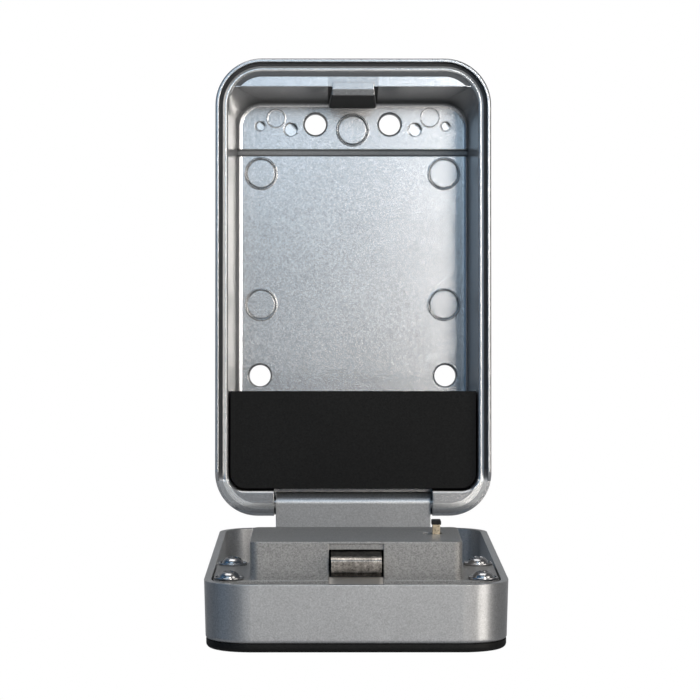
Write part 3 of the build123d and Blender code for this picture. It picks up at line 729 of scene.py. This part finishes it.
housingFinish = dict(
    caseFinish,
    colour=(0.335, 0.328, 0.320),
    metallic=0.55,
    grainScale=2900.0,
    grainContrast=0.70,
    roughLow=0.46,
    roughHigh=0.52,
    coat=0.1,
    bump=0.3,
    edgeHighlightAmount=0.30,
    edgeHighlightColour=(0.55, 0.55, 0.54),
    extras=(mouthWear,),
)
pocketFinish = {
    "colour": (0.0085, 0.0083, 0.0081),
    "grainScale": 2300.0,
    "grainContrast": 1.3,
    "mottleScale": 50.0,
    "mottleLow": 0.92,
    "mottleHigh": 1.08,
    "roughLow": 0.50,
    "roughHigh": 0.66,
    "specular": 0.16,
    "bump": 0.35,
    "bumpDepth": 0.00006,
    "edgeRadius": 0.0003,
}
plateFinish = dict(
    pocketFinish,
    colour=(0.0075, 0.0073, 0.0071),
    roughLow=0.44,
    roughHigh=0.56,
    specular=0.20,
)
buttonFinish = dict(
    plateFinish,
    colour=(0.0160, 0.0158, 0.0155),
    roughLow=0.36,
    roughHigh=0.48,
    specular=0.4,
)
dialFinish = dict(
    plateFinish,
    colour=(0.0200, 0.0198, 0.0195),
    roughLow=0.30,
    roughHigh=0.42,
    specular=0.4,
    edgeRadius=0.00015,
)
digitFinish = dict(dialFinish, colour=(0.80, 0.80, 0.78), grainContrast=0.08)
capFinish = dict(plateFinish, colour=(0.0140, 0.0138, 0.0136), edgeRadius=0.00012)
screwFinish = {
    "colour": (0.50, 0.50, 0.51),
    "stretch": (1.0, 1.0, 1.0),
    "grainScale": 2500.0,
    "grainContrast": 0.15,
    "mottleScale": 400.0,
    "mottleLow": 0.80,
    "mottleHigh": 1.08,
    "roughLow": 0.21,
    "roughHigh": 0.27,
    "bump": 0.1,
    "bumpDepth": 0.00004,
    "edgeRadius": 0.00008,
    "edgeHighlightAmount": 0.3,
    "edgeHighlightColour": (0.85, 0.86, 0.87),
    "extras": (),
}
pinFinish = dict(screwFinish, stretch=(0.15, 1.0, 1.0), grainScale=2000.0)


# the latch is darkened with painted shade on its ramp and below its nose, with a painted highlight along the
# nose between:
# heights in metres with the brightness at each
latchStops = [
    (-0.0586, 0.22),
    (-0.0589, 0.28),
    (-0.0591, 1.5),
    (-0.0597, 0.8),
    (-0.0612, 0.45),
    (-0.0626, 0.15),
]


# painted shade and painted highlight along the latch's height
def latchWear(tree, place, colour):
    height = splitVector(tree, place)["Z"]
    brightness = latchStops[0][1]
    for (high, before), (low, after) in zip(latchStops, latchStops[1:]):
        step = mapRange(tree, height, low, high, after - before, 0.0, smooth=False)
        brightness = mathNode(tree, "ADD", brightness, step)
    return dimmed(tree, colour, brightness)


latchFinish = dict(
    screwFinish,
    colour=(0.48, 0.44, 0.40),
    grainScale=2400.0,
    grainContrast=1.0,
    mottleScale=700.0,
    mottleLow=0.6,
    mottleHigh=1.2,
    roughLow=0.30,
    roughHigh=0.42,
    bump=0.5,
    edgeRadius=0.00014,
    edgeHighlightAmount=0.75,
    edgeHighlightColour=(0.80, 0.78, 0.74),
    extras=(latchWear,),
)
brassFinish = dict(
    screwFinish,
    colour=(0.60, 0.50, 0.36),
    edgeHighlightColour=(0.80, 0.72, 0.55),
    roughLow=0.25,
    roughHigh=0.38,
)
springFinish = dict(screwFinish, colour=(0.50, 0.51, 0.52))

finishes = {
    "case": makePaint("casePaint", caseFinish),
    "door_shell": makePaint("doorPaint", doorFinish),
    "lock_housing": makePaint("housingPaint", housingFinish),
    "key_pocket": makePlastic("pocketPlastic", pocketFinish),
    "front_plate": makePlastic("platePlastic", plateFinish),
    "release_button": makePlastic("buttonPlastic", buttonFinish),
    "reset_lever_cap": makePlastic("capPlastic", capFinish),
    "cover_screws": makeSteel("screwSteel", screwFinish),
    "hinge_pin": makeSteel("pinSteel", pinFinish),
    "latch_slide": makeSteel("latchMetal", latchFinish),
    "reset_lever": makeSteel("leverBrass", brassFinish),
    "latch_springs": makeSteel("springMetal", springFinish),
}
finishes["housing_screws"] = finishes["cover_screws"]
finishes["button_screw"] = finishes["cover_screws"]
finishes["dial_axle"] = finishes["hinge_pin"]
finishes["detent_spring"] = finishes["latch_springs"]
dialPlastic = makePlastic("dialPlastic", dialFinish)
digitWhite = makePlastic("digitWhite", digitFinish)
dialNumbers = range(1, 5)
for number in dialNumbers:
    finishes[f"dial_{number}"] = dialPlastic
    finishes[f"cam_{number}"] = finishes["reset_lever"]

for name, node in nodes.items():
    node.data.materials.clear()
    node.data.materials.append(finishes[name])
print("finishes placed on", len(finishes), "nodes")


# pieces of the scene

def shutBox(name):
    # the corners of a CAD node with the door shut
    points = [doorTurn.inverted() @ vertex.co for vertex in nodes[name].data.vertices]
    lowest = Vector(min(point[axis] for point in points) for axis in range(3))
    highest = Vector(max(point[axis] for point in points) for axis in range(3))
    return lowest, highest


def newPiece(name, mesh, material, body):
    piece = bpy.data.objects.new(name, mesh)
    bpy.context.scene.collection.objects.link(piece)
    mesh.materials.clear()
    mesh.materials.append(material)
    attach(piece, body)
    return piece


def realMesh(piece):
    bpy.context.view_layer.update()
    evaluated = piece.evaluated_get(bpy.context.evaluated_depsgraph_get())
    return bpy.data.meshes.new_from_object(evaluated)


# screws, turned from a profile, with a cross recess pressed into the head

housingScrew = {
    "shank": 0.0014,
    "length": 0.006,
    "rim": 0.0031,  # radius of the flange
    "skirt": [
        (0.0031, 0.00046),
        (0.00302, 0.00058),
        (0.0028, 0.00055),
        (0.0025, 0.00042),
        (0.00228, 0.00038),
    ],
    "dome": 0.0022,
    "foot": 0.00038,
    "top": 0.0018,
    "power": 2.5,
    "recess": 0.0026,
    "blade": 0.00062,
    "deep": 0.0008,
    "seed": 3,
}
coverScrew = {
    "shank": 0.0012,
    "length": 0.003,
    "rim": 0.0023,
    "skirt": [(0.0023, 0.00005)],
    "dome": 0.00229,
    "foot": 0.00008,
    "top": 0.0015,
    "power": 3.2,
    "recess": 0.0026,
    "blade": 0.0006,
    "deep": 0.0008,
    "seed": 5,
}
turnSteps = 72
domeRings = 26
recessSoft = 0.00012
recessStart = 0.0002  # the recess stays this far above the head's foot
recessSlope = 0.7


def smooth(value):
    value = min(max(value, 0.0), 1.0)
    return value * value * (3 - 2 * value)


def screwProfile(v):
    # radius and height, from the shank's end up: the axis is +Z and the seat of the head is at 0
    profile = [(v["shank"], -v["length"]), (v["shank"], 0.0), (v["rim"], 0.0)] + v["skirt"]
    for step in range(domeRings):
        radius = v["dome"] * math.cos(math.pi / 2 * step / domeRings)
        rise = (1 - (radius / v["dome"]) ** v["power"]) ** 0.5
        profile.append((radius, v["foot"] + (v["top"] - v["foot"]) * rise))
    return profile


def pressRecess(vertex, v):
    x, y, z = vertex.co
    if z <= v["foot"] + recessStart or math.hypot(x, y) >= v["dome"]:
        return
    reach, half = v["recess"] / 2, v["blade"] / 2
    along = smooth((reach - abs(x)) / recessSoft) * smooth((half - abs(y)) / recessSoft + 0.5)
    across = smooth((reach - abs(y)) / recessSoft) * smooth((half - abs(x)) / recessSoft + 0.5)
    floor = v["top"] - v["deep"] * (1 - recessSlope * math.hypot(x, y) / reach)
    vertex.co.z = z + (min(floor, z) - z) * max(along, across)


def screwMesh(name, v):
    bm = bmesh.new()
    rings = []
    for radius, height in screwProfile(v):
        angles = [2 * math.pi * step / turnSteps for step in range(turnSteps)]
        rings.append([bm.verts.new((radius * math.cos(a), radius * math.sin(a), height)) for a in angles])
    tip = bm.verts.new((0, 0, -v["length"] - v["shank"] / 2))
    crown = bm.verts.new((0, 0, v["top"]))
    pairs = [(step, (step + 1) % turnSteps) for step in range(turnSteps)]
    for a, b in zip(rings, rings[1:]):
        for step, after in pairs:
            bm.faces.new((a[step], a[after], b[after], b[step]))
    for step, after in pairs:
        bm.faces.new((rings[0][after], rings[0][step], tip))
        bm.faces.new((rings[-1][step], rings[-1][after], crown))
    for vertex in bm.verts:
        pressRecess(vertex, v)
    mesh = bpy.data.meshes.new(name)
    bm.to_mesh(mesh)
    bm.free()
    for face in mesh.polygons:
        face.use_smooth = True
    return mesh


def makeScrewTree():
    # copies of a screw on the four corners of a grid, each turned by chance
    tree = bpy.data.node_groups.new("screwGrid", "GeometryNodeTree")
    sockets = (
        ("Screw", "NodeSocketGeometry"),
        ("Width", "NodeSocketFloat"),
        ("Height", "NodeSocketFloat"),
        ("Seed", "NodeSocketInt"),
        ("Finish", "NodeSocketMaterial"),
    )
    for label, kind in sockets:
        tree.interface.new_socket(label, in_out="INPUT", socket_type=kind)
    tree.interface.new_socket("Screws", in_out="OUTPUT", socket_type="NodeSocketGeometry")
    start, end = tree.nodes.new("NodeGroupInput"), tree.nodes.new("NodeGroupOutput")
    grid = tree.nodes.new("GeometryNodeMeshGrid")
    grid.inputs["Vertices X"].default_value = 2
    grid.inputs["Vertices Y"].default_value = 2
    link(tree, start.outputs["Width"], grid.inputs["Size X"])
    link(tree, start.outputs["Height"], grid.inputs["Size Y"])
    turn = addNode(tree, "FunctionNodeRandomValue", data_type="FLOAT_VECTOR", Seed=start.outputs["Seed"])
    turn.inputs["Min"].default_value = (0, 0, 0)
    turn.inputs["Max"].default_value = (0, 0, math.pi)
    copies = addNode(tree, "GeometryNodeInstanceOnPoints", Points=grid.outputs["Mesh"],
                     Instance=start.outputs["Screw"], Rotation=turn.outputs["Value"])
    real = addNode(tree, "GeometryNodeRealizeInstances", Geometry=copies.outputs["Instances"])
    finish = addNode(tree, "GeometryNodeSetMaterial", Geometry=real.outputs["Geometry"],
                     Material=start.outputs["Finish"])
    link(tree, finish.outputs["Geometry"], end.inputs["Screws"])
    return tree


screwTree = makeScrewTree()


def makeScrews(node, v):
    low, high = shutBox(node)
    piece = bpy.data.objects.new(node + "_set", screwMesh(node + "_one", v))
    bpy.context.scene.collection.objects.link(piece)
    modifier = piece.modifiers.new("grid", "NODES")
    modifier.node_group = screwTree
    values = {
        "Width": high.x - low.x - 2 * v["rim"],
        "Height": high.z - low.z - 2 * v["rim"],
        "Seed": v["seed"],
        "Finish": finishes[node],
    }
    for item in screwTree.interface.items_tree:
        if item.in_out == "INPUT" and item.name in values:
            modifier[item.identifier] = values[item.name]
    mesh = realMesh(piece)
    bpy.data.objects.remove(piece)
    middle = Vector(((low.x + high.x) / 2, high.y - v["top"], (low.z + high.z) / 2))
    mesh.transform(doorTurn @ Matrix.Translation(middle) @ Matrix.Rotation(-math.pi / 2, 4, "X"))
    screws = newPiece(node + "_detailed", mesh, finishes[node], "door")
    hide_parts(node)


makeScrews("housing_screws", housingScrew)
makeScrews("cover_screws", coverScrew)
print("screws made")


# numbers printed on the dials

digitValues = {
    "count": 10,
    "size": 0.0046,
    "thick": 0.00004,
    "slices": 0.0004,
    "radius": 0.010,
}


def digitMesh(text, v):
    curve = bpy.data.curves.new("digit", "FONT")
    curve.body = text
    curve.size = v["size"]
    curve.align_x = "CENTER"
    curve.align_y = "CENTER"
    curve.extrude = v["thick"]
    holder = bpy.data.objects.new("digit", curve)
    bpy.context.scene.collection.objects.link(holder)
    mesh = realMesh(holder)
    bpy.data.objects.remove(holder)
    return mesh


def bentDigit(digit, centre, v):
    # one digit, cut into slices and bent round the dial
    part = bmesh.new()
    part.from_mesh(digitMesh(str(digit), v))
    cut = -v["size"] / 2
    while cut < v["size"] / 2:
        everything = part.verts[:] + part.edges[:] + part.faces[:]
        bmesh.ops.bisect_plane(part, geom=everything, plane_co=(0, cut, 0), plane_no=(0, 1, 0))
        cut += v["slices"]
    for vertex in part.verts:
        across, up, out = vertex.co
        angle = up / v["radius"] - 2 * math.pi * digit / v["count"]
        away = v["radius"] + out
        vertex.co = centre + Vector((across, -away * math.cos(angle), away * math.sin(angle)))
    mesh = bpy.data.meshes.new("bent")
    part.to_mesh(mesh)
    part.free()
    return mesh


def makeDigits(dial, v):
    centre = doorTurn.inverted() @ Vector(findJoint(dial)["pos_m"])
    bm = bmesh.new()
    for digit in range(v["count"]):
        bm.from_mesh(bentDigit(digit, centre, v))
    mesh = bpy.data.meshes.new(dial + "_digits")
    bm.transform(doorTurn)
    bm.to_mesh(mesh)
    bm.free()
    newPiece(dial + "_digits", mesh, digitWhite, dial)


for number in dialNumbers:
    makeDigits(f"dial_{number}", digitValues)
print("digits made")


# a small raised arrow on the housing beside the reset lever, which shows the way it slides

arrowValues = {
    "length": 0.0034,
    "head": 0.0014,
    "half": 0.0008,
    "stem": 0.0003,
    "gap": 0.0012,
    "drop": 0.0035,
    "thick": 0.00008,
    "sunk": 0.00002,
}


def makeArrow(v):
    leverLow, leverHigh = shutBox("reset_lever")
    roof = shutBox("lock_housing")[1].y
    tipX = leverLow.x - v["gap"] - v["length"]
    z = (leverLow.z + leverHigh.z) / 2 - v["drop"]
    neck = tipX + v["head"]
    endX = tipX + v["length"]
    half, stem = v["half"], v["stem"]
    outline = [(tipX, 0), (neck, half), (neck, stem), (endX, stem)]
    outline += [(endX, -stem), (neck, -stem), (neck, -half)]
    bm = bmesh.new()
    face = bm.faces.new([bm.verts.new((x, roof - v["sunk"], z + up)) for x, up in outline])
    made = bmesh.ops.extrude_face_region(bm, geom=[face])
    for item in made["geom"]:
        if isinstance(item, bmesh.types.BMVert):
            item.co.y += v["thick"]
    bmesh.ops.recalc_face_normals(bm, faces=bm.faces[:])
    bm.transform(doorTurn)
    mesh = bpy.data.meshes.new("lever_arrow")
    bm.to_mesh(mesh)
    bm.free()
    newPiece("lever_arrow", mesh, finishes["lock_housing"], "door")


makeArrow(arrowValues)
print("arrow made")


# floor, light and backdrop

floorValues = {
    "height": -0.44,
    "half": 3.0,
    "colour": (0.50, 0.495, 0.49),
    "rough": 0.9,
    "glow": 1.08,
    "glowShare": 0.9,  # of what the camera sees, so that the floor goes over into the white behind it
}


def makeFloor(v):
    mesh = bpy.data.meshes.new("floor")
    half, z = v["half"], v["height"]
    corners = [(-half, -half, z), (half, -half, z), (half, half, z), (-half, half, z)]
    mesh.from_pydata(corners, [], [(0, 1, 2, 3)])
    floor = bpy.data.objects.new("floor", mesh)
    bpy.context.scene.collection.objects.link(floor)
    material = bpy.data.materials.new("floorPale")
    material.use_nodes = True
    tree = material.node_tree
    shader = tree.nodes["Principled BSDF"]
    shader.inputs["Base Color"].default_value = rgba(v["colour"])
    shader.inputs["Roughness"].default_value = v["rough"]
    glow = addNode(tree, "ShaderNodeEmission", Strength=v["glow"])
    rays = tree.nodes.new("ShaderNodeLightPath")
    mix = tree.nodes.new("ShaderNodeMixShader")
    link(tree, multiply(tree, rays.outputs["Is Camera Ray"], v["glowShare"]), mix.inputs[0])
    link(tree, shader.outputs[0], mix.inputs[1])
    link(tree, glow.outputs[0], mix.inputs[2])
    link(tree, mix.outputs[0], tree.nodes["Material Output"].inputs["Surface"])
    mesh.materials.append(material)


# the world's light by direction: how high, how far to the right and how far behind
worldValues = {
    "low": -0.10,
    "high": 0.16,
    "skyLow": (0.055, 0.055, 0.055),
    "skyHigh": (0.10, 0.11, 0.125),
    "left": -0.55,
    "right": 0.35,
    "leftTint": (0.42, 0.78, 1.20),
    "rightTint": (1.10, 1.00, 0.90),
    "backFrom": 0.15,
    "backTo": 0.75,
    "backLight": (0.30, 0.305, 0.31),
}


def makeWorld(v):
    # white where the camera looks past the object, and a soft sky and ground for what the metal mirrors
    world = bpy.data.worlds.new("studio")
    bpy.context.scene.world = world
    world.use_nodes = True
    tree = world.node_tree
    tree.nodes.clear()
    end = tree.nodes.new("ShaderNodeOutputWorld")
    parts = splitVector(tree, tree.nodes.new("ShaderNodeTexCoord").outputs["Generated"])
    height = mapRange(tree, parts["Z"], v["low"], v["high"], 0.0, 1.0)
    sky = mixColour(tree, height, rgba(v["skyLow"]), rgba(v["skyHigh"]))
    side = mapRange(tree, parts["X"], v["left"], v["right"], 0.0, 1.0)
    tint = mixColour(tree, side, rgba(v["leftTint"]), rgba(v["rightTint"]))
    behind = mapRange(tree, parts["Y"], v["backFrom"], v["backTo"], 0.0, 1.0)
    light = mixColour(tree, behind, mixColour(tree, 1.0, sky, tint, "MULTIPLY"), rgba(v["backLight"]))
    lit = addNode(tree, "ShaderNodeBackground", Color=light)
    white = addNode(tree, "ShaderNodeBackground", Color=(1, 1, 1, 1))
    rays = tree.nodes.new("ShaderNodeLightPath")
    direct = mathNode(tree, "MAXIMUM", rays.outputs["Is Camera Ray"], rays.outputs["Is Transmission Ray"])
    mix = tree.nodes.new("ShaderNodeMixShader")
    link(tree, direct, mix.inputs[0])
    link(tree, lit.outputs[0], mix.inputs[1])
    link(tree, white.outputs[0], mix.inputs[2])
    link(tree, mix.outputs[0], end.inputs["Surface"])


lamps = [
    {"name": "keyPanel", "place": (0.37, -1.57, 0.15), "size": (0.24, 0.30), "power": 4.9,
     "colour": (1.0, 0.94, 0.87)},
    {"name": "frontFill", "place": (-0.30, -1.60, 0.46), "size": (1.0, 0.6), "power": 3.2,
     "colour": (0.60, 0.81, 1.0)},
    {"name": "lowFill", "place": (0.10, -1.50, -0.32), "size": (1.3, 0.22), "power": 0.75,
     "colour": (1.0, 0.97, 0.93)},
    {"name": "rightWindow", "place": (0.92, -0.77, 0.02), "size": (0.50, 0.95), "power": 4.4,
     "colour": (1.0, 0.95, 0.88)},
    {"name": "topPanel", "place": (-0.10, -0.35, 1.0), "size": (0.9, 0.7), "power": 4.6,
     "colour": (1.0, 0.98, 0.95)},
    {"name": "leftPanel", "place": (-1.0, -0.5, 0.10), "size": (0.6, 0.6), "power": 0.30,
     "colour": (0.25, 0.58, 1.0)},
]
lampTarget = Vector((0.0, -0.03, -0.01))


def makeLamp(v):
    data = bpy.data.lights.new(v["name"], "AREA")
    data.shape = "RECTANGLE"
    data.size, data.size_y = v["size"]
    data.energy = v["power"]
    data.color = v["colour"]
    lamp = bpy.data.objects.new(v["name"], data)
    lamp.location = v["place"]
    lamp.visible_camera = False
    lamp.rotation_mode = "QUATERNION"
    lamp.rotation_quaternion = (lampTarget - Vector(v["place"])).to_track_quat("-Z", "Y")
    bpy.context.scene.collection.objects.link(lamp)


makeFloor(floorValues)
makeWorld(worldValues)
for lampValues in lamps:
    makeLamp(lampValues)
bpy.context.scene.view_settings.view_transform = "Standard"
print("stage ready with", len(lamps), "lamps")
